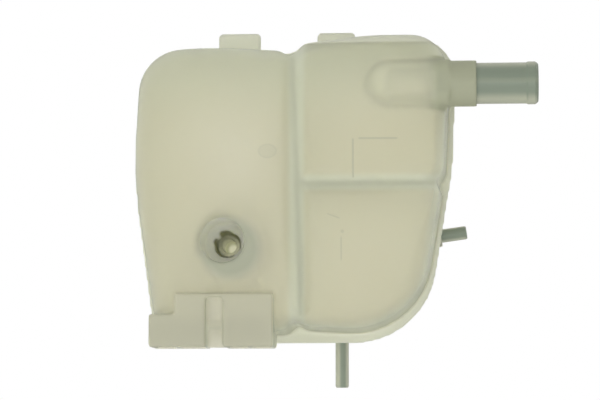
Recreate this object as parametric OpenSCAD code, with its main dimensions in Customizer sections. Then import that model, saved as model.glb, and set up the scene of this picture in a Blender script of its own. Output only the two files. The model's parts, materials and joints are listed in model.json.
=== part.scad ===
// Coolant expansion tank: two moulded halves welded on a flange, with hose stubs and a level float.
// Origin: middle of the foot's flat lower face. X runs across the face, Z up, Y from the face to the rear.

/* [Tank] */
// Width of the front half at the weld, without the flange
tank_w = 187; // [174:1:198]
// Height from the lower wall to the top of the tall lobe, at the weld
tank_h = 177; // [168:0.5:188]
// How far the left lobe's top lies below the tall lobe's
left_drop = 7.5; // [5:0.5:12]
// Depth of the front half, from the weld to the middle of its face
front_d = 50; // [46:1:56]
// Depth of the rear half, from the weld to the middle of its face
rear_d = 46; // [40:1:52]
// Wall thickness of both halves
wall = 2.4; // [2:0.1:3]
// Radius of the rounded edge round the front face
front_edge = 11; // [9:0.5:13]
// Radius of the rounded edge round the rear face
rear_edge = 14; // [10:0.5:16]
// How far each face stands out in its middle
crown = 2.5; // [1.5:0.5:4]
// How far the side walls lean inward from weld to face
draft = 1.5; // [0.5:0.5:2.5]
// How far the weld flange stands out from the wall
flange_w = 3; // [2:0.5:4]
// Thickness of the flange on each half
flange_t = 2.2; // [1.5:0.1:3]
// Radius of the big lower right corner
big_corner = 48; // [40:1:50]
// Radius of the tall lobe's upper outer corner
top_corner = 23; // [18:1:28]
// Radius of the left lobe's upper outer corner
left_corner = 28; // [22:1:32]

/* [Outline] */
// How far the left side draws in toward the bottom
left_in = 13.8; // [10:0.2:16]
// How far the right side draws in toward the bottom
right_in = 18.5; // [14:0.5:22]
// Radius of the lower left corner
low_corner = 12; // [8:0.5:16]
// Bulge radius of the nearly straight sides
side_bulge = 200; // [150:10:300]
// Bulge radius of the lobes' tops
top_bulge = 150; // [100:10:250]
// Depth of the notch where a groove meets the edge
notch_deep = 4.6; // [3:0.2:6]
// Inner radius of the notches
notch_r = 2.5; // [1.5:0.5:4]
// Radius of the soft shoulders beside the notches
shoulder_r = 8; // [6:0.5:10]

/* [Grooves and baffles] */
// Distance from the left wall to the upright groove at mid height
groove_x = 97.5; // [92:0.5:103]
// Height of the level groove above the lower wall
groove_z = 87.5; // [80:0.5:95]
// Lean of the upright groove, in degrees
groove_lean = 1.8; // [0:0.2:3]
// Width of a groove over its soft shoulders
groove_w = 22; // [16:1:26]
// Depth of the upright groove
groove_deep = 6; // [4:0.5:8]
// Depth of the level groove
level_groove_deep = 4.5; // [3:0.5:6]
// Thickness of the inner baffle walls
baffle_t = 2; // [1.6:0.1:2.6]
// How far the baffles of each half stop short of the weld
baffle_gap = 10; // [8:1:14]

/* [Foot] */
// Width of the foot block
foot_w = 72.4; // [66:0.2:78]
// Depth of the foot block
foot_d = 30; // [26:1:34]
// Height of the foot face below the tank's lower wall
foot_drop = 8; // [6:0.5:10]
// Distance from the tank's left wall to the middle of the foot
foot_in = 48.5; // [46:0.5:51]
// How far the foot block stands out in front of the face
foot_proud = 3.5; // [2.5:0.5:5]
// Height of the foot block's low outer part
foot_low = 19; // [16:1:24]
// Height of the foot block's tall part
foot_high = 31; // [27:1:35]
// Width of the low outer part
foot_step = 15; // [12:0.5:18]
// Width of the slot through the foot block
slot_w = 9.8; // [8:0.2:12]
// Distance from the middle of the foot to the middle of the slot
slot_off = 1.8; // [0:0.2:4]
// Thickness of the foot's walls
foot_wall = 2.2; // [1.8:0.1:2.6]
// Height of the sockets in the foot
cell_h = 16; // [10:1:17]
// Height of the web that joins the foot's two halves behind the slot
web_h = 9.5; // [8:0.5:14]

/* [Hose stub] */
// Outer diameter of the large tube
tube_d = 24; // [20:0.5:25]
// Bore of the large tube
tube_bore = 19; // [15:0.5:20]
// Length of the large tube beyond its sleeve
tube_out = 35.5; // [30:0.5:45]
// Length of the large tube inside its sleeve
tube_in = 23.5; // [18:0.5:28]
// Height of the bead at the tube's end
bead_h = 0.5; // [0.4:0.1:1]
// Length of the bead's flat land
bead_land = 4; // [3:0.5:5]
// Outer diameter of the sleeve
sleeve_d = 27; // [26:0.5:29]
// How far the sleeve reaches beyond the flange
sleeve_out = 13; // [10:1:18]
// Length of the saddle that carries the sleeve on the face, from its nose to the weld's right side
saddle_len = 49; // [42:1:56]
// Width of the flat along the saddle's front
saddle_flat = 11; // [8:0.5:14]
// Distance from the tube's axis down from the tall lobe's top
tube_down = 31.4; // [28:0.2:36]
// How far the sleeve stands out in front of the face
sleeve_proud = 4; // [2.5:0.5:6]

/* [Small nipples] */
// Outer diameter of a small nipple
nipple_d = 8; // [6:0.5:9]
// Bore of a small nipple
nipple_bore = 3.5; // [3:0.5:4.5]
// Step by which a small nipple narrows inside its boss
nipple_step = 0.5; // [0.3:0.1:0.7]
// Length of the side nipple beyond its boss
side_nipple_out = 15.3; // [12:0.1:20]
// Length of the lower nipple beyond its boss
lower_nipple_out = 27; // [22:1:32]
// Distance of the side nipple's root inside the tank's widest point
side_nipple_in = 11; // [9:0.5:13]
// Height of the side nipple above the lower wall
side_nipple_z = 60.2; // [55:0.2:67]
// Upward slope of the side nipple, in degrees
side_nipple_tilt = 8; // [4:1:12]
// Distance from the left wall to the lower nipple
lower_nipple_x = 121; // [112:0.5:128]
// Distance of both nipples behind the weld
nipple_back = 14; // [12:1:20]
// Length of the side nipple's boss, from its root in the wall
side_boss = 5; // [4:0.5:8]
// Length of the lower nipple's boss, from its root in the wall
lower_boss = 5; // [4:0.5:8]

/* [Sensor port and float] */
// Distance from the left wall to the port's axis
port_x = 54.6; // [50:0.2:60]
// Height of the port's axis above the lower wall
port_z = 54; // [50:0.2:60]
// Diameter of the port's wide recess
recess_d = 25.6; // [23:0.2:27]
// Depth of the wide recess
recess_deep = 30; // [24:1:32]
// Diameter of the toothed socket behind the recess
socket_d = 16; // [14:0.5:17]
// Depth of the toothed socket
socket_deep = 12; // [9:1:13]
// Reach of the large tooth into the socket
tooth_reach = 3; // [2:0.25:3.5]
// Reach of the small teeth into the socket
small_tooth_reach = 0.9; // [0.6:0.1:1.5]
// Diameter of the narrow blind well behind the socket
well_d = 9.2; // [8:0.2:10]
// Depth of the narrow well
well_deep = 26; // [22:1:28]
// Outer diameter of the float
float_d = 39.6; // [36:0.2:42]
// Thickness of the float
float_h = 12; // [9:1:14]
// Free travel of the float along the well
float_travel = 13; // [9:1:14]
// Running gap round moving and inserted pieces
gap = 0.3; // [0.2:0.05:0.5]

/* [Filler neck and tongues] */
// Distance from the left wall to the neck's axis
neck_x = 54; // [46:1:60]
// Height of the neck's axis above the lower wall
neck_z = 116; // [110:1:122]
// Outer diameter of the neck
neck_d = 48; // [42:1:52]
// Bore of the neck
neck_bore = 41; // [34:1:42]
// Length of the neck beyond the rear face
neck_out = 24; // [18:1:30]
// Width of the left mounting tongue
left_tongue_w = 25.5; // [22:0.5:28]
// Width of the right mounting tongue
right_tongue_w = 23; // [20:0.5:26]
// Thickness of a mounting tongue
tongue_t = 4; // [3:0.5:5]
// Height of the tongues' tips above the tall lobe's top
tongue_rise = 8; // [5:0.5:11]
// Height of the thin lip at a tongue's tip
tongue_lip = 1.8; // [1:0.1:3]
// Distance of the tongues behind the weld
tongue_back = 8; // [6:0.5:10]
// Distance from the left wall to the left tongue
left_tongue_x = 46.5; // [40:0.5:52]
// Distance between the two tongues' left edges
tongue_pitch = 60; // [55:1:65]

/* [Hidden] */
$fn = 48;
milky = "#cbc7ac";
grey = "#88918a";
arc_step = 10;
fillet_steps = 6;
tight = 0.6;
over = 1;
// Steps in the bell-shaped section of a groove, and how far a groove's cutter reaches out of the face
bell_steps = 10;
bell_rise = 10;
// Spans that run past the tank's edges, as shares of its height
past_edge = 1.4;

// Places that everything else is set out from
x_left = -foot_in;
x_right = x_left + tank_w;
z_low = foot_drop;
z_high = z_low + tank_h;
z_left = z_high - left_drop;
x_groove = x_left + groove_x;
z_groove = z_low + groove_z;
weld_y = front_d + foot_proud - foot_d / 2;
middle = [x_left + tank_w / 2, z_low + tank_h / 2];
lean_low = x_groove + tan(groove_lean) * (middle[1] - z_low);
lean_high = x_groove - tan(groove_lean) * (z_left - middle[1]);
lobe_w = x_right - x_groove;
big_r = min(big_corner, lobe_w * 0.55);
top_r = min(top_corner, lobe_w * 0.28);
left_r = min(left_corner, groove_x * 0.31);

// Corners of the front half at the weld: x, z and radius, with a notch where each groove meets the edge
front_corners = [
    [x_left + left_in, z_low, low_corner],
    [lean_low - shoulder_r * 1.25, z_low + tight, shoulder_r],
    [lean_low - notch_deep, z_low + notch_deep * 1.3, notch_r],
    [lean_low + notch_r, z_low + notch_deep * 0.65, shoulder_r * 1.25],
    [x_right - right_in, z_low - tight, big_r],
    [x_right - notch_deep, z_groove - notch_deep, shoulder_r * 0.6],
    [x_right - notch_deep * 1.5, z_groove + notch_deep * 0.33, notch_r],
    [x_right - notch_deep * 0.52, z_groove + shoulder_r, shoulder_r * 0.75],
    [x_right + crown * 0.36, z_high, top_r],
    [x_groove + lobe_w * 0.47, z_high, side_bulge / 2],
    [lean_high + shoulder_r * 0.78, z_high - notch_deep, shoulder_r],
    [lean_high - notch_deep * 0.43, z_left - notch_deep, notch_r],
    [lean_high - shoulder_r * 0.87, z_left - crown / 2, shoulder_r],
    [(x_left + x_groove) / 2, z_left + crown / 2, top_bulge],
    [x_left + crown * 1.44, z_left - crown / 2, left_r],
    [x_left - crown / 4, middle[1] + notch_deep, side_bulge]
];
// Corners of the flange, which runs past the notches
flange_corners = [
    [x_left + left_in - crown * 0.4 - flange_w, z_low - flange_w * 1.5, low_corner + crown * 0.4],
    [x_groove + lobe_w * 0.25, z_low - flange_w * 1.33, shoulder_r * 10],
    [x_right - right_in + flange_w * 0.83, z_low - flange_w * 1.5, big_r + flange_w * 0.67],
    [x_right - notch_deep + flange_w * 0.87, z_groove - shoulder_r * 0.69, side_bulge * 0.6],
    [x_right + flange_w / 2, z_groove + low_corner * 1.08, side_bulge / 2],
    [x_right + flange_w * 1.27, z_high + flange_w, top_r + flange_w],
    [x_groove + lobe_w * 0.47, z_high + flange_w, side_bulge / 2],
    [lean_high + shoulder_r * 1.15, z_high - flange_w * 0.3, shoulder_r * 1.75],
    [lean_high - notch_deep, z_left + flange_w * 0.4, shoulder_r * 1.75],
    [(x_left + x_groove) / 2, z_left + flange_w * 1.47, top_bulge],
    [x_left + crown * 1.44 - flange_w, z_left + flange_w * 0.67, left_r + flange_w * 0.83],
    [x_left - crown / 4 - flange_w, middle[1] + notch_deep, side_bulge]
];

function unit(v) = v / norm(v);

// One rounded corner of an outline, moved inward by inset
function corner_arc(before, at, after, inset) =
    let(
        go_in = unit([at[0] - before[0], at[1] - before[1]]),
        go_out = unit([after[0] - at[0], after[1] - at[1]]),
        turn = atan2(cross(go_in, go_out), go_in * go_out),
        side = turn < 0 ? -1 : 1,
        from = [go_in[1], -go_in[0]],
        to = [go_out[1], -go_out[0]],
        hub = [at[0], at[1]] - side * at[2] * (from + to) / (1 + from * to),
        reach = side > 0 ? max(at[2] - inset, tight) : at[2] + inset,
        steps = max(1, ceil(abs(turn) / arc_step)),
        start = atan2(from[1], from[0])
    )
    [for (k = [0 : steps]) hub + side * reach * [cos(start + turn * k / steps), sin(start + turn * k / steps)]];

// The whole outline, moved inward by inset
function outline(corners, inset) =
    let(n = len(corners))
    [for (i = [0 : n - 1]) each corner_arc(corners[(i + n - 1) % n], corners[i], corners[(i + 1) % n], inset)];

// The outline at a depth in front of the weld, drawn toward the middle by share
function ring(corners, inset, depth, share = 1) =
    [for (p = outline(corners, inset)) let(q = middle + (p - middle) * share) [q[0], -depth, q[1]]];

// A closed solid through rings of equal length, from the rearmost to the foremost
module loft(rings, peak) {
    n = len(rings[0]);
    last = len(rings) - 1;
    base = [middle[0], rings[0][0][1], middle[1]];
    points = concat([for (r = rings) each r], [base, [middle[0], -peak, middle[1]]]);
    sides = [for (i = [0 : last - 1], k = [0 : n - 1])
        let(a = i * n + k, b = i * n + (k + 1) % n, c = b + n, d = a + n)
        each [[a, d, c], [a, c, b]]];
    back = [for (k = [0 : n - 1]) [n * (last + 1), k, (k + 1) % n]];
    front = [for (k = [0 : n - 1]) [n * (last + 1) + 1, last * n + (k + 1) % n, last * n + k]];
    polyhedron(points = points, faces = concat(sides, back, front), convexity = 6);
}

// One half of the tank in front of the weld: drafted sides, a rounded edge and a crowned face
module half_form(corners, inset, depth, edge, start = 0) {
    rim = depth - crown - edge;
    round_rings = [for (k = [0 : fillet_steps])
        let(a = 90 * k / fillet_steps)
        ring(corners, inset + draft + edge * (1 - cos(a)), rim + edge * sin(a))];
    face_rings = [for (share = [0.82, 0.48])
        ring(corners, inset + draft + edge, depth - crown * share * share, share)];
    loft(concat([ring(corners, inset, -start)], round_rings, face_rings), depth);
}

// A long cutter with a bell-shaped section, laid along Z; its feet stay just clear of the face
module bell_cut(level, deep, width, long) {
    bell = [for (i = [0 : bell_steps]) let(t = width * (i / bell_steps - 0.5))
        [t, -level - tight + (deep + tight) * (1 + cos(360 * t / width)) / 2]];
    translate([0, 0, -long / 2])
        linear_extrude(height = long)
            polygon(concat(bell, [[width / 2, -level - bell_rise], [-width / 2, -level - bell_rise]]));
}

// Both grooves of a face, or the ribs that follow them inside when extra is the wall
module grooves(level, extra = 0) {
    translate([x_groove, 0, middle[1]])
        rotate([0, -groove_lean, 0])
            bell_cut(level - extra, groove_deep, groove_w + extra, tank_h * past_edge);
    translate([x_groove + tank_w / 2, 0, z_groove])
        rotate([0, 90, 0])
            bell_cut(level - extra, level_groove_deep, groove_w * 0.8 + extra, tank_w);
}

// The inner walls under the grooves of one half; they stop short of the weld so that coolant passes
module baffles(depth) {
    reach = depth - baffle_gap + over;
    translate([x_groove, -baffle_gap - reach / 2, middle[1]])
        rotate([0, -groove_lean, 0])
            cube([baffle_t, reach, tank_h * past_edge], center = true);
    translate([x_groove, -baffle_gap - reach, z_groove - baffle_t / 2])
        cube([tank_w, reach, baffle_t]);
}

// The hollow of one half
module hollow(corners, inset, depth, edge) {
    difference() {
        half_form(corners, inset + wall, depth - wall, edge - wall, over);
        grooves(depth, wall);
        baffles(depth);
    }
}

// A round bar along +X from x0 to x1, with a radius at each end
module rod(x0, x1, r0, r1) {
    translate([x0, 0, 0])
        rotate([0, 90, 0])
            cylinder(h = x1 - x0, r1 = r0, r2 = r1);
}

/* The large tube's sleeve and saddle */
tube_y = -(front_d + sleeve_proud - sleeve_d / 2);
tube_z = z_high - tube_down;
sleeve_end = x_right + flange_w + sleeve_out;
tube_seat = sleeve_end - tube_in;
saddle_start = x_right - saddle_len;
saddle_corner = (sleeve_d - saddle_flat) / 2;
duct_r = tube_bore / 2 - 1.5;
duct_start = saddle_start + sleeve_d / 2;

// The saddle: a bullet whose sides run down into the face, with a flat along its front
module saddle() {
    nose_r = sleeve_d / 2;
    translate([0, saddle_corner - front_d - sleeve_proud, tube_z])
        hull() {
            translate([saddle_start + nose_r, 0, 0])
                scale([1, saddle_corner / nose_r, 1])
                    sphere(r = nose_r);
            for (side = [-1, 1])
                translate([0, 0, side * saddle_flat / 2])
                    rod(saddle_start + nose_r, x_right, saddle_corner, saddle_corner);
        }
}

module sleeve() {
    saddle();
    translate([0, tube_y, tube_z])
        rod(tube_seat - wall, sleeve_end, sleeve_d / 2, sleeve_d / 2);
}

module sleeve_bores() {
    translate([0, tube_y, tube_z]) {
        rod(tube_seat, sleeve_end + over, tube_d / 2 + gap / 2, tube_d / 2 + gap / 2);
        rod(duct_start, tube_seat + over, duct_r, duct_r);
        translate([duct_start + duct_r, 0, 0])
            rotate([-90, 0, 0])
                cylinder(h = sleeve_d, r = duct_r);
    }
}

/* The foot block */
foot_front = -(front_d + foot_proud);
slot_left = slot_off - slot_w / 2;
slot_right = slot_off + slot_w / 2;

module foot_block() {
    translate([-foot_w / 2, foot_front, 0])
        cube([foot_w / 2 + slot_left, foot_d, foot_low]);
    translate([-foot_w / 2 + foot_step, foot_front, 0])
        cube([foot_w / 2 + slot_left - foot_step, foot_d / 2, foot_high]);
    translate([slot_right, foot_front, 0])
        cube([foot_w / 2 - slot_right, foot_d / 2, foot_high]);
    translate([slot_right, foot_front, 0])
        cube([foot_w / 2 - slot_right, foot_d, foot_low]);
    translate([slot_left - over, foot_front + foot_d / 2 - foot_wall / 2, 0])
        cube([slot_w + 2 * over, foot_wall, web_h]);
    translate([slot_left - over, foot_front, foot_high - foot_wall])
        cube([slot_w + 2 * over, foot_d / 2, foot_wall]);
}

module foot_sockets() {
    left_rib = -foot_w / 2 + foot_step;
    right_rib = (slot_right + foot_w / 2) / 2;
    edges = [-foot_w / 2, left_rib, slot_left, slot_right, right_rib, foot_w / 2];
    for (i = [0, 1, 3, 4])
        translate([
            edges[i] + foot_wall / (i == 0 || i == 3 ? 1 : 2),
            foot_front + foot_wall,
            -over
        ])
            cube([edges[i + 1] - edges[i] - foot_wall * 1.5, foot_d - 2 * foot_wall, cell_h + over]);
}

/* The sensor port, its well and the float on it */
port = [x_left + port_x, 0, z_low + port_z];
recess_end = -front_d + recess_deep;
socket_end = recess_end + socket_deep;
well_end = socket_end + well_deep;
float_bore = well_d + 2 * wall + 2 * gap;
float_low = socket_end + wall + gap;
stop_y = float_low + float_h + float_travel + gap;
// Each tooth of the socket: its direction in degrees and its reach
teeth = [[139, tooth_reach], [192, small_tooth_reach], [58, small_tooth_reach], [-41, small_tooth_reach]];
tooth_w = 3;

module along_y(y0, y1, r) {
    translate([0, y0, 0])
        rotate([-90, 0, 0])
            cylinder(h = y1 - y0, r = r);
}

module well_walls() {
    translate(port) {
        along_y(-front_d + wall / 2, recess_end + wall, recess_d / 2 + wall);
        along_y(recess_end, socket_end + wall, socket_d / 2 + wall);
        along_y(socket_end, well_end + wall, well_d / 2 + wall);
    }
}

module well_bores() {
    translate(port) {
        along_y(-front_d - foot_proud, recess_end, recess_d / 2);
        difference() {
            along_y(recess_end - over, socket_end, socket_d / 2);
            for (tooth = teeth)
                rotate([0, -tooth[0], 0])
                    translate([socket_d / 2 - tooth[1], recess_end, -tooth_w / 2])
                        cube([tooth[1] + over, tooth_w, tooth_w]);
        }
        along_y(socket_end - over, well_end, well_d / 2);
    }
}

module front_shell() {
    color(milky)
        translate([0, weld_y, 0])
            difference() {
                union() {
                    difference() {
                        union() {
                            difference() {
                                half_form(front_corners, 0, front_d, front_edge);
                                grooves(front_d);
                            }
                            weld_flange();
                            difference() {
                                foot_block();
                                foot_sockets();
                            }
                        }
                        hollow(front_corners, 0, front_d, front_edge);
                    }
                    sleeve();
                    well_walls();
                }
                sleeve_bores();
                well_bores();
            }
}

module weld_flange() {
    loft([ring(flange_corners, 0, 0), ring(flange_corners, 0, flange_t)], flange_t);
}

/* Nipple bosses, neck and tongues of the rear half */
// How far the neck reaches into the tank, its root collar and its stop ring for the cap
neck_in = 4;
root_collar = [2, 5];
cap_ring = [3, 2.5];
cap_ring_y = neck_in + 5;
boss_d = nipple_d + 2 * wall;
spigot_d = nipple_d - 2 * nipple_step;
side_root = [x_right - side_nipple_in, nipple_back, z_low + side_nipple_z];
lower_root = [x_left + lower_nipple_x, nipple_back, z_low + 2];

module at_side_nipple() {
    translate(side_root)
        rotate([0, 90 - side_nipple_tilt, 0])
            children();
}

module at_lower_nipple() {
    translate(lower_root)
        rotate([180, 0, 0])
            children();
}

// A mounting tongue whose tip narrows to a lip; the right one starts below the shoulder
shoulder_drop = 6.5;

module tongue(x, width, root_z) {
    tip = z_high + tongue_rise;
    side = width / 20;
    translate([x, tongue_back, root_z])
        cube([width, tongue_t, tip - tongue_lip - root_z]);
    translate([x + side, tongue_back + tongue_t / 4, root_z])
        cube([width - 2 * side, tongue_t / 2, tip - root_z]);
}

module rear_shell() {
    neck = [x_left + neck_x, rear_d - neck_in, z_low + neck_z];
    color(milky)
        translate([0, weld_y, 0])
            difference() {
                union() {
                    mirror([0, 1, 0])
                        difference() {
                            union() {
                                difference() {
                                    half_form(flange_corners, flange_w, rear_d, rear_edge);
                                    grooves(rear_d);
                                }
                                weld_flange();
                            }
                            hollow(flange_corners, flange_w, rear_d, rear_edge);
                        }
                    at_side_nipple()
                        cylinder(h = side_boss, d = boss_d);
                    at_lower_nipple()
                        cylinder(h = lower_boss, d = boss_d);
                    translate(neck) {
                        along_y(0, neck_in + neck_out, neck_d / 2);
                        along_y(0, neck_in + root_collar[0], neck_d / 2 + root_collar[1]);
                        along_y(cap_ring_y, cap_ring_y + cap_ring[0], neck_d / 2 + cap_ring[1]);
                    }
                    tongue(x_left + left_tongue_x, left_tongue_w, z_left - over);
                    tongue(x_left + left_tongue_x + tongue_pitch, right_tongue_w, z_high - shoulder_drop);
                    translate([port[0], 0, port[2]])
                        along_y(stop_y, rear_d - wall / 2, float_bore / 2 + wall);
                }
                at_side_nipple()
                    translate([0, 0, -over])
                        cylinder(h = side_boss + 2 * over, d = spigot_d + gap);
                at_lower_nipple()
                    translate([0, 0, -over])
                        cylinder(h = lower_boss + 2 * over, d = spigot_d + gap);
                translate(neck)
                    along_y(-neck_in - wall, neck_in + neck_out + over, neck_bore / 2);
                translate([port[0], 0, port[2]])
                    along_y(stop_y - over, rear_d - 2 * wall, float_bore / 2);
            }
}

// A straight hose nipple along +Z, its narrower spigot seated in its boss, with an eased outer end
module nipple(inside, outside) {
    ease = nipple_d / 8;
    rotate_extrude()
        polygon([
            [nipple_bore / 2, -inside],
            [spigot_d / 2, -inside],
            [spigot_d / 2, 0],
            [nipple_d / 2, 0],
            [nipple_d / 2, outside - ease],
            [nipple_d / 2 - ease / 2, outside],
            [nipple_bore / 2, outside]
        ]);
}

module main_hose_stub() {
    r = tube_d / 2;
    ramp = bead_h * 2;
    land_end = tube_out - ramp * 2;
    color(grey)
        translate([sleeve_end, weld_y + tube_y, tube_z])
            rotate([0, 90, 0])
                rotate_extrude()
                    polygon([
                        [tube_bore / 2, -tube_in],
                        [r - bead_h, -tube_in],
                        [r, -tube_in + ramp],
                        [r, land_end - bead_land - ramp],
                        [r + bead_h, land_end - bead_land],
                        [r + bead_h, land_end],
                        [r, land_end + ramp],
                        [r - ramp, tube_out],
                        [tube_bore / 2, tube_out]
                    ]);
}

module side_vent_nipple() {
    color(grey)
        translate([0, weld_y, 0])
            at_side_nipple()
                translate([0, 0, side_boss])
                    nipple(side_boss, side_nipple_out);
}

module lower_vent_nipple() {
    color(grey)
        translate([0, weld_y, 0])
            at_lower_nipple()
                translate([0, 0, lower_boss])
                    nipple(lower_boss, lower_nipple_out);
}

/* Float and magnet */
magnet_h = 4;
magnet_w = 3;
magnet_in = float_bore / 2 + wall / 2;
magnet_out = magnet_in + magnet_w;
float_place = [port[0], weld_y + float_low + float_h / 2, port[2]];

module level_float() {
    soft = 2;
    color("#a9aa8c")
        translate(float_place)
            rotate([90, 0, 0])
                difference() {
                    rotate_extrude()
                        polygon([
                            [float_bore / 2, -float_h / 2],
                            [float_d / 2 - soft, -float_h / 2],
                            [float_d / 2 - soft * 0.3, -float_h / 2 + soft * 0.3],
                            [float_d / 2, -float_h / 2 + soft],
                            [float_d / 2, float_h / 2 - soft],
                            [float_d / 2 - soft * 0.3, float_h / 2 - soft * 0.3],
                            [float_d / 2 - soft, float_h / 2],
                            [float_bore / 2, float_h / 2]
                        ]);
                    translate([0, 0, -float_h / 2 - over])
                        difference() {
                            cylinder(h = magnet_h + over, r = magnet_out);
                            translate([0, 0, -over])
                                cylinder(h = magnet_h + 3 * over, r = magnet_in);
                        }
                }
}

module float_magnet() {
    color("#4a4a4c")
        translate(float_place)
            rotate([90, 0, 0])
                translate([0, 0, -float_h / 2])
                    difference() {
                        cylinder(h = magnet_h, r = magnet_out - gap / 2);
                        translate([0, 0, -over])
                            cylinder(h = magnet_h + 2 * over, r = magnet_in + gap / 2);
                    }
}

front_shell();
rear_shell();
main_hose_stub();
side_vent_nipple();
lower_vent_nipple();
level_float();
float_magnet();
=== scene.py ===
"""Coolant expansion tank in natural polypropylene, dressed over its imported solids."""
import json
import math
from functools import reduce

import bmesh
import bpy
from bpy.props import FloatProperty, FloatVectorProperty, PointerProperty
from mathutils import Matrix, Vector


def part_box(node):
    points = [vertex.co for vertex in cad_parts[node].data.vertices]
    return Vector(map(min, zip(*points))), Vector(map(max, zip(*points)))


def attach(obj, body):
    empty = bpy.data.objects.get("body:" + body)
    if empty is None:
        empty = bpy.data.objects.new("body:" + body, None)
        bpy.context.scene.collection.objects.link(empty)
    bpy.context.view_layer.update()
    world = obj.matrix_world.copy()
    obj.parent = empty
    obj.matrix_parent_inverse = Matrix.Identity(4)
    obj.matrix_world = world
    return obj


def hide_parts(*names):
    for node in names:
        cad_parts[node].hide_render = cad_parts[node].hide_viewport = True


bl_info = {
    "name": "Coolant Expansion Tank",
    "version": (1, 0, 0),
    "blender": (4, 5, 0),
    "location": "View3D > Sidebar > Tank",
    "description": "Moulded skins, hose tubes, float and studio for a coolant expansion tank",
    "category": "Object",
}

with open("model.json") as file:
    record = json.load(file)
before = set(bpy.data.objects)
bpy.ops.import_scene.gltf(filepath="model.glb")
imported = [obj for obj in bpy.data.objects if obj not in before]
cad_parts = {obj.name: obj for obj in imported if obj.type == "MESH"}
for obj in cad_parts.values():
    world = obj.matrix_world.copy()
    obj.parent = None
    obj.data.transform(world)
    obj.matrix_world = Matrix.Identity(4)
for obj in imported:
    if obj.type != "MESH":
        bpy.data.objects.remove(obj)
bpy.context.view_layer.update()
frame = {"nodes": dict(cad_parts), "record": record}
MM = 0.001

# The photograph: its width in pixels, and what a pixel spans on the weld plane
PHOTO_WIDTH = 600
PIXEL = 0.6 * MM

# Places that everything is set out from
MOUNTS = {mount["name"]: Vector(mount["pos_m"]) for mount in frame["record"]["mounts"]}
PORT = MOUNTS["sensor_socket"]
NECK = MOUNTS["filler_neck"]
TUBE = MOUNTS["main_hose_stub_end"]
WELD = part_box("rear_shell")[0][1]
# The right end of the level groove, and what the photograph's middle shows
GROOVE_END = Vector((PORT.x + 125 * MM, WELD, PORT.z + 26 * MM))
AIM = Vector((PORT.x + 41.95 * MM, WELD, PORT.z + 28 * MM))


def linear(hex_colour):
    """The linear RGB of an sRGB hex colour."""
    parts = [int(hex_colour[i : i + 2], 16) / 255 for i in (1, 3, 5)]
    return [c / 12.92 if c <= 0.04045 else ((c + 0.055) / 1.055) ** 2.4 for c in parts]


class TankLooks(bpy.types.PropertyGroup):
    """Colours of the tank's plastics, and the painted light and shade laid over them."""

    milky: FloatVectorProperty(
        name="Tank plastic",
        description="Natural polypropylene of the two halves",
        subtype="COLOR",
        default=linear("#f5f3e2"),
    )
    milky_deep: FloatVectorProperty(
        name="Tank plastic, thick",
        description="Natural polypropylene where more of it lies behind",
        subtype="COLOR",
        default=linear("#efecd8"),
    )
    # Painted light: a paler, greener colour laid on edges and side walls by the way they turn
    edge_painted_light: FloatVectorProperty(
        name="Tank plastic, edges",
        description="Natural polypropylene on rounded edges and side walls",
        subtype="COLOR",
        default=linear("#f6f8e8"),
    )
    milky_thick: FloatVectorProperty(
        name="Tank plastic, doubled",
        description="Natural polypropylene of the flange",
        subtype="COLOR",
        default=linear("#f4f5e2"),
    )
    # Painted light: a near-white colour laid inside the sensor port and its well
    port_painted_light: FloatVectorProperty(
        name="Port",
        description="Natural polypropylene inside the sensor port",
        subtype="COLOR",
        default=linear("#ffffee"),
    )
    # Painted shade: a darker colour laid on the foot's front walls and in its slot
    foot: FloatVectorProperty(
        name="Foot",
        description="Natural polypropylene of the foot's front walls",
        subtype="COLOR",
        default=linear("#c9c8b0"),
    )
    # Painted shade: a darker colour laid round the large tube; the large tube's mid-height line is also
    # tinted toward it
    socket: FloatVectorProperty(
        name="Tube socket",
        description="Natural polypropylene round the large tube",
        subtype="COLOR",
        default=linear("#cbceb1"),
    )
    # Painted light: a paler colour laid in the grooves to lift their shade
    groove: FloatVectorProperty(
        name="Grooves",
        description="Natural polypropylene in the grooves between the pillows",
        subtype="COLOR",
        default=linear("#fbfdf0"),
    )
    # Painted shade: a darker colour laid on the face round the sensor port
    port_painted_shade: FloatVectorProperty(
        name="Port surround",
        description="Natural polypropylene of the face round the sensor port",
        subtype="COLOR",
        default=linear("#b1b79d"),
    )
    grey: FloatVectorProperty(
        name="Tube plastic",
        description="Grey polypropylene of the hose tubes",
        subtype="COLOR",
        default=linear("#a0ad98"),
    )
    # Painted light: a paler colour laid where the hose tubes turn away
    tube_painted_light: FloatVectorProperty(
        name="Tube plastic, edges",
        description="Grey polypropylene where the tubes turn away",
        subtype="COLOR",
        default=linear("#d3d6bf"),
    )
    foam: FloatVectorProperty(
        name="Float foam",
        description="Foamed polypropylene of the level float",
        subtype="COLOR",
        default=linear("#9b9e88"),
    )
    ferrite: FloatVectorProperty(
        name="Magnet",
        description="Plastic-bonded ferrite ring",
        subtype="COLOR",
        default=linear("#4a4a4c"),
    )


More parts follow.
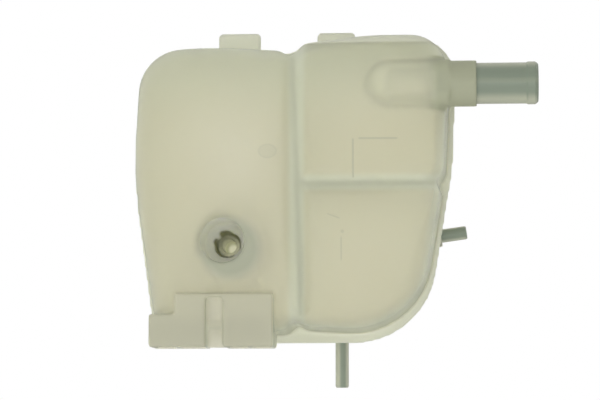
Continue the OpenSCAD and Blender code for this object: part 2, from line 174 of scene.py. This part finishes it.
class TankSizes(bpy.types.PropertyGroup):
    """Sizes of the skins and the studio."""

    voxel: FloatProperty(
        name="Skin grain",
        description="Size of the cells from which the moulded skins are rebuilt",
        default=1.1 * MM,
        unit="LENGTH",
    )
    thread_root: FloatProperty(
        name="Thread root",
        description="Radius of the filler neck under its thread",
        default=24 * MM,
        unit="LENGTH",
    )
    thread_deep: FloatProperty(
        name="Thread depth",
        description="Height of the thread's rib over the neck",
        default=2.2 * MM,
        unit="LENGTH",
    )
    thread_pitch: FloatProperty(
        name="Thread pitch",
        description="Advance of the thread in one turn",
        default=6 * MM,
        unit="LENGTH",
    )
    thread_turns: FloatProperty(
        name="Thread turns",
        description="Turns of the thread",
        default=1.5,
    )
    camera_far: FloatProperty(
        name="Camera distance",
        description="Distance of the camera from the weld plane's middle",
        default=1.5,
        unit="LENGTH",
    )
    camera_turn: FloatProperty(
        name="Camera azimuth",
        description="How far to the right of the tank the camera stands",
        default=math.radians(4),
        subtype="ANGLE",
    )
    camera_rise: FloatProperty(
        name="Camera elevation",
        description="How far above the tank the camera stands",
        default=math.radians(-5.7),
        subtype="ANGLE",
    )


def looks():
    """The colours as they are set."""
    return bpy.context.scene.tank_looks


def sizes():
    """The sizes as they are set."""
    return bpy.context.scene.tank_sizes


# Nodes and materials


def add_node(tree, kind, settings=None, links=None):
    """Adds a node with its settings and links; a link may also be a plain value for its socket."""
    node = tree.nodes.new(kind)
    for key, value in (settings or {}).items():
        if isinstance(key, str) and hasattr(node, key):
            setattr(node, key, value)
        else:
            node.inputs[key].default_value = value
    for key, source in (links or {}).items():
        if isinstance(source, bpy.types.NodeSocket):
            tree.links.new(source, node.inputs[key])
        else:
            node.inputs[key].default_value = source
    return node


def new_material(name):
    """An empty node material and its tree."""
    material = bpy.data.materials.new(name)
    material.use_nodes = True
    material.node_tree.nodes.clear()
    return material, material.node_tree


def combined(tree, operation, masks):
    """One mask out of several, joined in turn by a Math operation; each is a socket or a number."""

    def join(first, second):
        node = add_node(tree, "ShaderNodeMath", {"operation": operation}, {0: first, 1: second})
        return node.outputs[0]

    return reduce(join, masks)


def product(tree, *masks):
    """Several masks multiplied."""
    return combined(tree, "MULTIPLY", masks)


def highest(tree, *masks):
    """The highest of several masks."""
    return combined(tree, "MAXIMUM", masks)


def weighted_sum(tree, start, *terms):
    """A start, which is a socket or a number, plus masks that are each multiplied by a weight."""
    total = start
    for mask, weight in terms:
        inputs = {0: mask, 1: weight, 2: total}
        total = add_node(tree, "ShaderNodeMath", {"operation": "MULTIPLY_ADD"}, inputs).outputs[0]
    return total


def layered(tree, tint, *layers):
    """A tint with flat colours laid over it, each by its mask."""
    for mask, colour in layers:
        settings = {"data_type": "RGBA", 7: (*colour, 1)}
        tint = add_node(tree, "ShaderNodeMix", settings, {0: mask, 6: tint}).outputs[2]
    return tint


def soft_band(tree, value, low, high, soft):
    """A mask that is 1 from low to high of a value and fades to 0 over soft on both sides."""
    rise = {"From Min": low - soft, "From Max": low}
    fall = {"From Min": high, "From Max": high + soft, "To Min": 1.0, "To Max": 0.0}
    sides = []
    for limits in (rise, fall):
        settings = {"interpolation_type": "SMOOTHSTEP", **limits}
        side = add_node(tree, "ShaderNodeMapRange", settings, {"Value": value})
        sides.append(side.outputs["Result"])
    return product(tree, *sides)


def box_mask(tree, *spans):
    """Soft bands multiplied; a span is a distance, and its low, high and soft in millimetres."""
    bands = []
    for distance, low, high, soft in spans:
        bands.append(soft_band(tree, distance, low * MM, high * MM, soft * MM))
    return product(tree, *bands)


def round_mask(tree, place, centre, radius, soft, stretch=1):
    """A mask that is 1 within radius (mm) of a line along Y through centre, and the distance to it."""
    away = add_node(tree, "ShaderNodeVectorMath", {"operation": "SUBTRACT", 1: centre}, {0: place})
    for settings in ({"operation": "MULTIPLY", 1: (1, 0, stretch)}, {"operation": "LENGTH"}):
        away = add_node(tree, "ShaderNodeVectorMath", settings, {0: away.outputs["Vector"]})
    distance = away.outputs["Value"]
    return box_mask(tree, (distance, -soft, radius, soft)), distance


def measured_from(tree, place, origin):
    """The x, y and z of a place, measured from an origin."""
    settings = {"operation": "SUBTRACT", 1: origin}
    away = add_node(tree, "ShaderNodeVectorMath", settings, {0: place}).outputs["Vector"]
    return add_node(tree, "ShaderNodeSeparateXYZ", {}, {"Vector": away}).outputs


def tool_marks(tree, place):
    """Marks of the mould on the face: fine lines, the oval scar of the gate, and its rim."""
    x, _, z = measured_from(tree, place, PORT)
    _, part_y, _ = measured_from(tree, place, Vector())
    front = box_mask(tree, (part_y, -40, 2, 4))
    # Two edges of a mould insert
    upright = box_mask(tree, (x, 75.9, 76.4, 0.5), (z, 37, 58, 1.5))
    level = box_mask(tree, (z, 58.7, 59.2, 0.5), (x, 80.5, 101, 2))
    # Two scratches, of which the second falls 37 mm in 100, and a nick between them
    scratch = box_mask(tree, (x, 69, 69.4, 0.5), (z, -11, 0.5, 2))
    fallen = weighted_sum(tree, z, (x, 0.37))
    slanted = box_mask(tree, (fallen, 37.5, 37.8, 0.5), (x, 62, 67.5, 1.5))
    nick, _ = round_mask(tree, place, PORT + Vector((69.9, 0, 4.7)) * MM, 0.6, 0.8)
    faint = (product(tree, mark, 0.7) for mark in (scratch, slanted, nick))
    lines = highest(tree, upright, level, *faint)
    # The scar is wider than tall, so z counts for more in its distance
    scar, away = round_mask(tree, place, PORT + Vector((26.3, 0, 51.8)) * MM, 4.6, 1.6, 1.3)
    rim = box_mask(tree, (away, 4.8, 5.2, 0.7))
    return [product(tree, mark, front) for mark in (lines, scar, rim)]


def shell_masks(tree, place):
    """Masks of the shells' regions, in millimetres from the part's origin, the port or the tube."""
    part_x, part_y, part_z = measured_from(tree, place, Vector())
    x, y, z = measured_from(tree, place, PORT)
    _, tube_y, tube_z = measured_from(tree, place, TUBE)
    upright_groove = box_mask(tree, (x, 40.5, 45.5, 4))
    level_groove = box_mask(tree, (z, 31, 36, 4), (x, 45, 200, 4))
    low_foot = box_mask(tree, (part_x, -38, 35, 1), (part_z, -1, 18, 1))
    high_foot = box_mask(tree, (part_x, -20.5, 35, 1), (part_z, -1, 30, 1))
    foot = highest(tree, low_foot, high_foot)
    # Painted shade: the disc where the float's shade is painted, set off from the port
    collar, _ = round_mask(tree, place, PORT + Vector((5, 0, -5)) * MM, 13, 8)
    recess, away = round_mask(tree, place, PORT, 13.2, 0.3)
    flange = soft_band(tree, part_y, WELD - 2.8 * MM, WELD + 2.8 * MM, 0.4 * MM)
    tongues = box_mask(tree, (z, 116.5, 200, 1))
    lines, scar, rim = tool_marks(tree, place)
    return {
        "top": box_mask(tree, (z, 118, 200, 56)),
        "grooves": highest(tree, upright_groove, level_groove),
        "socket": box_mask(tree, (x, 127, 155, 10), (tube_y, -20, 16, 3), (tube_z, -15, 15, 2)),
        "foot_front": product(tree, foot, box_mask(tree, (part_y, -20, -13, 2))),
        "foot_block": product(tree, foot, box_mask(tree, (part_y, -20, 14, 2))),
        "slot": box_mask(tree, (x, -8.8, 0.2, 1), (z, -45, -34, 9), (y, -60, 16, 2)),
        "collar": product(tree, collar, box_mask(tree, (y, -20, 2, 4))),
        "port": product(tree, recess, box_mask(tree, (y, -11, 28, 2))),
        "well": box_mask(tree, (away, -1, 8.4, 0.5), (y, 16, 60, 1)),
        "flange": highest(tree, flange, tongues),
        "lines": lines,
        "scar": scar,
        "rim": rim,
    }


def shell_tint(tree, coords, masks):
    """The shells' colour: clouds of the melt, edges painted paler and greener, then the regions, all
    but the flange painted light or shade, over one another.
    """
    look = looks()
    # Flow of the melt: broad clouds of slightly different milkiness
    cloud = add_node(
        tree,
        "ShaderNodeTexNoise",
        {"Scale": 1 / (45 * MM), "Detail": 2.0, "Roughness": 0.45},
        {"Vector": coords["Object"]},
    )
    # Painted light: rounded edges and side walls are painted paler and greener the further they turn
    # from the front, for the light that passes through more plastic there
    normal = add_node(tree, "ShaderNodeSeparateXYZ", {}, {"Vector": coords["Normal"]})
    turned = add_node(tree, "ShaderNodeMath", {"operation": "ABSOLUTE"}, {0: normal.outputs["Y"]})
    edges = add_node(
        tree,
        "ShaderNodeMapRange",
        {
            "interpolation_type": "SMOOTHSTEP",
            "From Min": 0.1,
            "From Max": 0.8,
            "To Min": 1.0,
            "To Max": 0.0,
        },
        {"Value": turned.outputs[0]},
    )
    tint = layered(
        tree,
        (*look.milky, 1),
        (cloud.outputs["Fac"], look.milky_deep),
        (edges.outputs["Result"], look.edge_painted_light),
    )
    regions = (
        # Painted shade: the upper part is painted a little darker and greener, as less light falls on
        # it
        ("top", 0.75, [c * 0.94 for c in look.edge_painted_light]),
        # Painted light: the grooves, where the walls meet, are painted paler to lift the shade in them
        ("grooves", 1, look.groove),
        # Painted shade: round the large tube, where two walls lie in one another and take light away,
        # the face is painted darker
        ("socket", 1, look.socket),
        # Painted shade: the foot's front walls stand before empty cells, so they are painted darker for
        # the light that does not come through them
        ("foot_front", 0.9, look.foot),
        # Painted shade: the foot's slot is painted darker, most at its top, where the walls round it
        # meet
        ("slot", 0.35, look.foot),
        # Painted shade: a soft dark disc is painted round the port, set off to its lower right, for the
        # float's shade behind the wall
        ("collar", 0.75, look.port_painted_shade),
        # Painted light: the thick port and its thin, clear well are painted near white, which lifts the
        # shade inside the port and lights a spot at the well's end
        ("port", 1, look.port_painted_light),
        ("well", 1, look.port_painted_light),
        ("flange", 1, look.milky_thick),
    )
    for name, share, colour in regions:
        tint = layered(tree, tint, (product(tree, masks[name], share), colour))
    # The mould's marks take 70 % of the edges' painted-light colour
    marks = weighted_sum(tree, 0.0, (masks["lines"], 0.8), (masks["scar"], 0.2), (masks["rim"], 0.2))
    return layered(tree, tint, (marks, [c * 0.7 for c in look.edge_painted_light]))


def natural_polypropylene():
    """Natural polypropylene, injection moulded: milky and waxy, lets blurred shapes behind it show."""
    material, tree = new_material("natural_polypropylene_moulded")
    coords = add_node(tree, "ShaderNodeTexCoord").outputs
    masks = shell_masks(tree, coords["Object"])
    # Spark-eroded mould face: a fine grain, drawn 2.5 mm coarse so that it shows
    grain = add_node(
        tree,
        "ShaderNodeTexNoise",
        {"Scale": 1 / (2.5 * MM), "Detail": 3.0},
        {"Vector": coords["Object"]},
    )
    height = weighted_sum(tree, grain.outputs["Fac"], (masks["lines"], -4.0), (masks["rim"], 3.0))
    bump = add_node(
        tree,
        "ShaderNodeBump",
        {"Strength": 0.12, "Distance": 0.2 * MM},
        {"Height": height},
    )
    # Doubled or boxed-in places let less light straight through, but the well's thin wall lets it all
    closed_shares = {"flange": 0.45, "foot_block": 0.45, "socket": 0.4, "collar": 0.45, "port": 0.6}
    closed = (product(tree, masks[name], share) for name, share in closed_shares.items())
    well = masks["well"]
    beside_well = weighted_sum(tree, 1.0, (well, -1.0))
    shut = product(tree, highest(tree, *closed), beside_well)
    shader = add_node(
        tree,
        "ShaderNodeBsdfPrincipled",
        {
            "IOR": 1.49,
            "Subsurface Radius": (1.0, 1.0, 0.8),
            "Subsurface Scale": 25 * MM,
        },
        {
            "Base Color": shell_tint(tree, coords, masks),
            "Normal": bump.outputs["Normal"],
            "Roughness": weighted_sum(tree, 0.6, (well, -0.27)),
            "Transmission Weight": weighted_sum(tree, 0.8, (shut, -1.0), (well, 0.2)),
            "Subsurface Weight": product(tree, masks["port"], beside_well),
        },
    )
    add_node(tree, "ShaderNodeOutputMaterial", {}, {"Surface": shader.outputs["BSDF"]})
    return material


def grey_polypropylene():
    """Grey-tinted polypropylene, injection moulded: satin, hardly clear, painted paler where it turns
    away.
    """
    look = looks()
    material, tree = new_material("grey_polypropylene_moulded")
    coords = add_node(tree, "ShaderNodeTexCoord").outputs
    # Faint streaks of the melt, 6 mm wide and drawn out along the large tube
    stretched = add_node(
        tree,
        "ShaderNodeVectorMath",
        {"operation": "MULTIPLY", 1: (0.15, 1, 1)},
        {0: coords["Object"]},
    )
    streaks = add_node(
        tree,
        "ShaderNodeTexNoise",
        {"Scale": 1 / (6 * MM), "Detail": 2.0},
        {"Vector": stretched.outputs["Vector"]},
    )
    # Painted light: where a tube turns down, up or, on the lower nipple, to the sides, it is painted
    # paler, for the light from below and round about on its edges
    normal_x, _, normal_z = add_node(
        tree,
        "ShaderNodeSeparateXYZ",
        {},
        {"Vector": coords["Normal"]},
    ).outputs
    down = soft_band(tree, normal_z, -1.0, -0.9, 0.4)
    up = soft_band(tree, normal_z, 0.95, 1.0, 0.4)
    left = soft_band(tree, normal_x, -1.0, -0.5, 0.5)
    right = soft_band(tree, normal_x, 0.8, 1.0, 0.4)
    # Only the lower nipple has sides that turn left and right
    _, _, part_z = measured_from(tree, coords["Object"], Vector())
    aside = product(tree, highest(tree, left, right), box_mask(tree, (part_z, -60, 8, 2)))
    # A narrow line along the large tube's front at mid-height, tinted 16 % toward the socket colour and
    # raised a little by the bump
    _, tube_y, tube_z = measured_from(tree, coords["Object"], TUBE)
    mid_line = box_mask(tree, (tube_z, -0.6, 0.6, 1.8), (tube_y, -20, -10, 2))
    tint = layered(
        tree,
        (*look.grey, 1),
        (streaks.outputs["Fac"], [c * 0.8 for c in look.grey]),
        (highest(tree, down, up, aside), look.tube_painted_light),
        (product(tree, mid_line, 0.16), look.socket),
    )
    bump = add_node(
        tree,
        "ShaderNodeBump",
        {"Strength": 0.1, "Distance": 0.3 * MM},
        {"Height": mid_line},
    )
    shader = add_node(
        tree,
        "ShaderNodeBsdfPrincipled",
        {
            "Roughness": 0.5,
            "IOR": 1.49,
            "Transmission Weight": 0.3,
            "Coat Weight": 0.1,
            "Coat Roughness": 0.2,
        },
        {"Base Color": tint, "Normal": bump.outputs["Normal"]},
    )
    add_node(tree, "ShaderNodeOutputMaterial", {}, {"Surface": shader.outputs["BSDF"]})
    return material


def foamed_polypropylene():
    """Foamed polypropylene, steam moulded: matt, with fine closed cells."""
    material, tree = new_material("foamed_polypropylene_moulded")
    place = add_node(tree, "ShaderNodeTexCoord")
    cells = add_node(
        tree,
        "ShaderNodeTexVoronoi",
        {"Scale": 1 / (0.9 * MM)},
        {"Vector": place.outputs["Object"]},
    )
    bump = add_node(
        tree,
        "ShaderNodeBump",
        {"Strength": 0.3, "Distance": 0.2 * MM},
        {"Height": cells.outputs["Distance"]},
    )
    shader = add_node(
        tree,
        "ShaderNodeBsdfPrincipled",
        {"Base Color": (*looks().foam, 1), "Roughness": 0.7, "IOR": 1.4},
        {"Normal": bump.outputs["Normal"]},
    )
    add_node(tree, "ShaderNodeOutputMaterial", {}, {"Surface": shader.outputs["BSDF"]})
    return material


def bonded_ferrite():
    """Plastic-bonded ferrite, pressed: nearly black, with a fine speckle."""
    material, tree = new_material("bonded_ferrite_pressed")
    place = add_node(tree, "ShaderNodeTexCoord")
    speckle = add_node(
        tree,
        "ShaderNodeTexNoise",
        {"Scale": 1 / (0.6 * MM), "Detail": 2.0},
        {"Vector": place.outputs["Object"]},
    )
    dark = looks().ferrite
    tint = layered(tree, (*dark, 1), (speckle.outputs["Fac"], [c * 1.6 for c in dark]))
    shader = add_node(
        tree,
        "ShaderNodeBsdfPrincipled",
        {"Roughness": 0.55, "IOR": 1.6},
        {"Base Color": tint},
    )
    add_node(tree, "ShaderNodeOutputMaterial", {}, {"Surface": shader.outputs["BSDF"]})
    return material


def made(maker):
    """The material of a maker function, made once."""
    cache = made.__dict__.setdefault("cache", {})
    if maker not in cache:
        cache[maker] = maker()
    return cache[maker]


# Moulded skins

# Steps in which a skin's softness is told apart, and its smoothing passes where soft and all over
SOFT_STEPS = 10
SOFT_PASSES = 16
ALL_PASSES = 2
TRIANGLE_LIMIT = 190_000


def modified(obj, kind, **settings):
    """Replaces obj's mesh by what one modifier makes of it."""
    modifier = obj.modifiers.new(kind.lower(), kind)
    for key, value in settings.items():
        setattr(modifier, key, value)
    graph = bpy.context.evaluated_depsgraph_get()
    result = obj.evaluated_get(graph)
    mesh = bpy.data.meshes.new_from_object(result, preserve_all_data_layers=True, depsgraph=graph)
    obj.modifiers.clear()
    obj.data = mesh


def add_fillet(mesh, start, end, radius):
    """Joins a row of balls, which reads as a round bar, to a mesh that will be rebuilt from cells."""
    maker = bmesh.new()
    maker.from_mesh(mesh)
    steps = 10
    for i in range(steps + 1):
        place = Matrix.Translation(start.lerp(end, i / steps))
        bmesh.ops.create_icosphere(maker, subdivisions=2, radius=radius, matrix=place)
    maker.to_mesh(mesh)
    maker.free()


def moulded_skin(name, node, softness, fillet=None):
    """A smooth skin over a faceted solid, rebuilt from small cells and eased where softness says so."""
    skin = bpy.data.objects.new(name, frame["nodes"][node].data.copy())
    bpy.context.scene.collection.objects.link(skin)
    skin.data.materials.clear()
    if fillet:
        add_fillet(skin.data, *fillet)
    modified(skin, "REMESH", mode="VOXEL", voxel_size=sizes().voxel)
    group = skin.vertex_groups.new(name="soft")
    buckets = [[] for _ in range(SOFT_STEPS + 1)]
    for vertex in skin.data.vertices:
        buckets[round(softness(vertex.co) * SOFT_STEPS)].append(vertex.index)
    for level, members in enumerate(buckets):
        if level and members:
            group.add(members, level / SOFT_STEPS, "REPLACE")
    modified(skin, "SMOOTH", factor=0.5, iterations=SOFT_PASSES, vertex_group=group.name)
    modified(skin, "SMOOTH", factor=0.5, iterations=ALL_PASSES)
    count = sum(len(face.vertices) - 2 for face in skin.data.polygons)
    if count > TRIANGLE_LIMIT:
        modified(skin, "DECIMATE", ratio=TRIANGLE_LIMIT / count)
    for face in skin.data.polygons:
        face.use_smooth = True
    skin.data.materials.append(made(natural_polypropylene))
    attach(skin, "tank")
    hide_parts(node)
    return skin


def clear_of(point, centre, radius, fade=6 * MM):
    """0 within radius of a line along Y through centre, rising to 1 over fade."""
    away = math.hypot(point.x - centre.x, point.z - centre.z) - radius
    return min(max(away / fade, 0), 1)


def clear_of_weld(point, half=4.5 * MM, fade=3 * MM):
    """0 beside the weld plane, rising to 1 over fade."""
    return min(max((abs(point.y - WELD) - half) / fade, 0), 1)


def clear_of_box(point, low, high, fade=5 * MM):
    """0 inside a box, rising to 1 over fade outside it."""
    away = Vector(max(low[i] - point[i], 0, point[i] - high[i]) for i in range(3)).length
    return min(away / fade, 1)


def front_softness(point):
    """How far the front half is eased: not at the port, foot, sleeve, groove's end and flange."""
    foot_low, foot_high = Vector((-38, -16, -1)) * MM, Vector((38, 16, 32)) * MM
    sleeve_half = 15 * MM
    sleeve_low = Vector((138 * MM, TUBE.y - sleeve_half, TUBE.z - sleeve_half))
    sleeve_high = Vector((160 * MM, TUBE.y + sleeve_half, TUBE.z + sleeve_half))
    return min(
        clear_of(point, PORT, 17 * MM),
        clear_of_box(point, foot_low, foot_high),
        clear_of_box(point, sleeve_low, sleeve_high),
        clear_of(point, GROOVE_END, 12 * MM),
        clear_of_weld(point),
    )


# Low and high corners, in millimetres, of the rear half's tongues and of the nipples' bosses
REAR_DETAILS = (
    ((-5, 44, 172), (84, 53, 200)),
    ((120, 44, 60), (136, 62, 80)),
    ((64, 44, 4), (80, 62, 14)),
)


def rear_softness(point):
    """How far the rear half is eased: not at the neck, float stop, flange, tongues and bosses."""
    fade = 3 * MM
    corners = ((Vector(low) * MM, Vector(high) * MM) for low, high in REAR_DETAILS)
    details = (clear_of_box(point, low, high, fade) for low, high in corners)
    return min(
        clear_of(point, NECK, 30 * MM),
        clear_of(point, PORT, 12 * MM),
        clear_of_weld(point),
        *details,
    )


class TANK_OT_front_shell(bpy.types.Operator):
    """Moulds the photographed half's skin over its solid"""

    bl_idname = "tank.front_shell"
    bl_label = "Front shell"

    def execute(self, context):
        # Inside the lower right pillow's corner the wall is thinner than a cell, so it gets a fillet
        start = PORT + Vector((120.9, -8.5, 20)) * MM
        end = PORT + Vector((122.4, -8.1, 29)) * MM
        fillet = (start, end, 1.6 * MM)
        moulded_skin("front_shell_skin", "front_shell", front_softness, fillet)
        return {"FINISHED"}


class TANK_OT_rear_shell(bpy.types.Operator):
    """Moulds the rear half's skin over its solid"""

    bl_idname = "tank.rear_shell"
    bl_label = "Rear shell"

    def execute(self, context):
        moulded_skin("rear_shell_skin", "rear_shell", rear_softness)
        return {"FINISHED"}


def thread_rings(size):
    """Corners of the thread's section, step by step along its helix."""
    steps = 72
    count = round(size.thread_turns * steps)
    # The rib rises out of the neck and sinks back over a twelfth of a turn
    ramp = steps / 12
    sunk, foot, crest = 0.3 * MM, 1.7 * MM, 0.6 * MM
    first = NECK.y - 3.5 * MM
    for i in range(count + 1):
        turn = 2 * math.pi * i / steps
        share = min(1, i / ramp, (count - i) / ramp)
        out = size.thread_deep * share - sunk * (1 - share)
        along = first + size.thread_pitch * i / steps
        section = ((-sunk, -foot), (out, -crest), (out, crest), (-sunk, foot))
        ring = []
        for rise, shift in section:
            far = size.thread_root + rise
            ring.append((NECK.x + far * math.cos(turn), along + shift, NECK.z + far * math.sin(turn)))
        yield ring


class TANK_OT_neck_thread(bpy.types.Operator):
    """Winds the cap's thread round the filler neck"""

    bl_idname = "tank.neck_thread"
    bl_label = "Neck thread"

    def execute(self, context):
        maker = bmesh.new()
        rings = [[maker.verts.new(corner) for corner in ring] for ring in thread_rings(sizes())]
        for first, second in zip(rings, rings[1:]):
            for j in range(4):
                k = (j + 1) % 4
                maker.faces.new((first[j], first[k], second[k], second[j]))
        maker.faces.new(rings[0])
        maker.faces.new(rings[-1])
        bmesh.ops.recalc_face_normals(maker, faces=maker.faces)
        mesh = bpy.data.meshes.new("neck_thread")
        maker.to_mesh(mesh)
        maker.free()
        mesh.materials.append(made(natural_polypropylene))
        thread = bpy.data.objects.new("neck_thread", mesh)
        context.scene.collection.objects.link(thread)
        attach(thread, "tank")
        return {"FINISHED"}


class TANK_OT_hose_tubes(bpy.types.Operator):
    """Finishes the three grey hose tubes"""

    bl_idname = "tank.hose_tubes"
    bl_label = "Hose tubes"

    def execute(self, context):
        for node in ("main_hose_stub", "side_vent_nipple", "lower_vent_nipple"):
            finish_node(node, grey_polypropylene)
        return {"FINISHED"}


class TANK_OT_level_float(bpy.types.Operator):
    """Finishes the ring float and its magnet"""

    bl_idname = "tank.level_float"
    bl_label = "Level float"

    def execute(self, context):
        finish_node("level_float", foamed_polypropylene)
        finish_node("float_magnet", bonded_ferrite)
        return {"FINISHED"}


def finish_node(node, maker):
    """Gives a solid that stays its material."""
    mesh = frame["nodes"][node].data
    mesh.materials.clear()
    mesh.materials.append(made(maker))


# Studio

# Each lamp's name, place and width in metres, and power in watts
LAMPS = (
    ("key", (-1.1, -0.9, -0.2), 0.9, 3),
    ("under", (0.0, -0.25, -0.42), 0.8, 1.6),
    ("front", (0.15, -1.7, -0.12), 0.6, 4),
)


class TANK_OT_stage(bpy.types.Operator):
    """Sets the floor, the soft lights and the camera at the photograph's view"""

    bl_idname = "tank.stage"
    bl_label = "Stage"

    def execute(self, context):
        scene = context.scene
        scene.view_settings.view_transform = "Standard"
        make_world(scene)
        make_floor()
        for lamp in LAMPS:
            soft_light(*lamp)
        make_camera(scene)
        return {"FINISHED"}


def make_world(scene):
    """White to the camera, in reflections and through the plastic; plain pale light on the tank."""
    world = bpy.data.worlds.new("studio")
    world.use_nodes = True
    tree = world.node_tree
    tree.nodes.clear()
    path = add_node(tree, "ShaderNodeLightPath")
    rays = ("Is Camera Ray", "Is Transmission Ray", "Is Glossy Ray")
    seen = highest(tree, *(path.outputs[ray] for ray in rays))
    strength = add_node(
        tree,
        "ShaderNodeMapRange",
        {"To Min": 0.6, "To Max": 1.0},
        {"Value": seen},
    )
    light = add_node(
        tree,
        "ShaderNodeBackground",
        {"Color": (1, 1, 1, 1)},
        {"Strength": strength.outputs["Result"]},
    )
    add_node(tree, "ShaderNodeOutputWorld", {}, {"Surface": light.outputs["Background"]})
    scene.world = world


def make_floor():
    """A plain pale floor well below the tank, which is held up."""
    half, height = 3.0, -0.45
    mesh = bpy.data.meshes.new("floor")
    corners = [(half * x, half * y, height) for x, y in ((-1, -1), (1, -1), (1, 1), (-1, 1))]
    mesh.from_pydata(corners, [], [(0, 1, 2, 3)])
    floor = bpy.data.objects.new("floor", mesh)
    bpy.context.scene.collection.objects.link(floor)
    material, tree = new_material("studio_paper")
    shader = add_node(
        tree,
        "ShaderNodeBsdfPrincipled",
        {"Base Color": (0.85, 0.85, 0.85, 1), "Roughness": 0.9},
    )
    add_node(tree, "ShaderNodeOutputMaterial", {}, {"Surface": shader.outputs["BSDF"]})
    mesh.materials.append(material)


def soft_light(name, place, width, power):
    """A square area light aimed at the tank."""
    data = bpy.data.lights.new(name, "AREA")
    data.energy = power
    data.size = width
    lamp = bpy.data.objects.new(name, data)
    lamp.location = place
    lamp.rotation_euler = (AIM - lamp.location).to_track_quat("-Z", "Y").to_euler()
    bpy.context.scene.collection.objects.link(lamp)


def make_camera(scene):
    """The photograph's camera, aimed at what the photograph's middle shows on the weld plane."""
    size = sizes()
    turn, rise, far = size.camera_turn, size.camera_rise, size.camera_far
    across = math.cos(rise)
    back = Vector((math.sin(turn) * across, -math.cos(turn) * across, math.sin(rise)))
    data = bpy.data.cameras.new("photo_camera")
    data.sensor_width = 36
    data.lens = data.sensor_width * far / (PHOTO_WIDTH * PIXEL)
    camera = bpy.data.objects.new("photo_camera", data)
    camera.location = AIM + back * far
    camera.rotation_euler = (-back).to_track_quat("-Z", "Y").to_euler()
    scene.collection.objects.link(camera)
    scene.camera = camera


class TANK_PT_panel(bpy.types.Panel):
    """Lists the tank's pieces"""

    bl_idname = "TANK_PT_panel"
    bl_label = "Expansion tank"
    bl_space_type = "VIEW_3D"
    bl_region_type = "UI"
    bl_category = "Tank"

    def draw(self, context):
        for operator in OPERATORS:
            self.layout.operator(operator.bl_idname)
        for group in (context.scene.tank_looks, context.scene.tank_sizes):
            for name in group.__annotations__:
                self.layout.prop(group, name)


OPERATORS = (
    TANK_OT_front_shell,
    TANK_OT_rear_shell,
    TANK_OT_neck_thread,
    TANK_OT_hose_tubes,
    TANK_OT_level_float,
    TANK_OT_stage,
)
CLASSES = (TankLooks, TankSizes, *OPERATORS, TANK_PT_panel)


def register():
    for cls in CLASSES:
        bpy.utils.register_class(cls)
    bpy.types.Scene.tank_looks = PointerProperty(type=TankLooks)
    bpy.types.Scene.tank_sizes = PointerProperty(type=TankSizes)


def unregister():
    del bpy.types.Scene.tank_sizes
    del bpy.types.Scene.tank_looks
    for cls in reversed(CLASSES):
        bpy.utils.unregister_class(cls)


def main():
    register()
    bpy.ops.tank.front_shell()
    bpy.ops.tank.rear_shell()
    bpy.ops.tank.neck_thread()
    bpy.ops.tank.hose_tubes()
    bpy.ops.tank.level_float()
    bpy.ops.tank.stage()


if __name__ == "__main__":
    main()
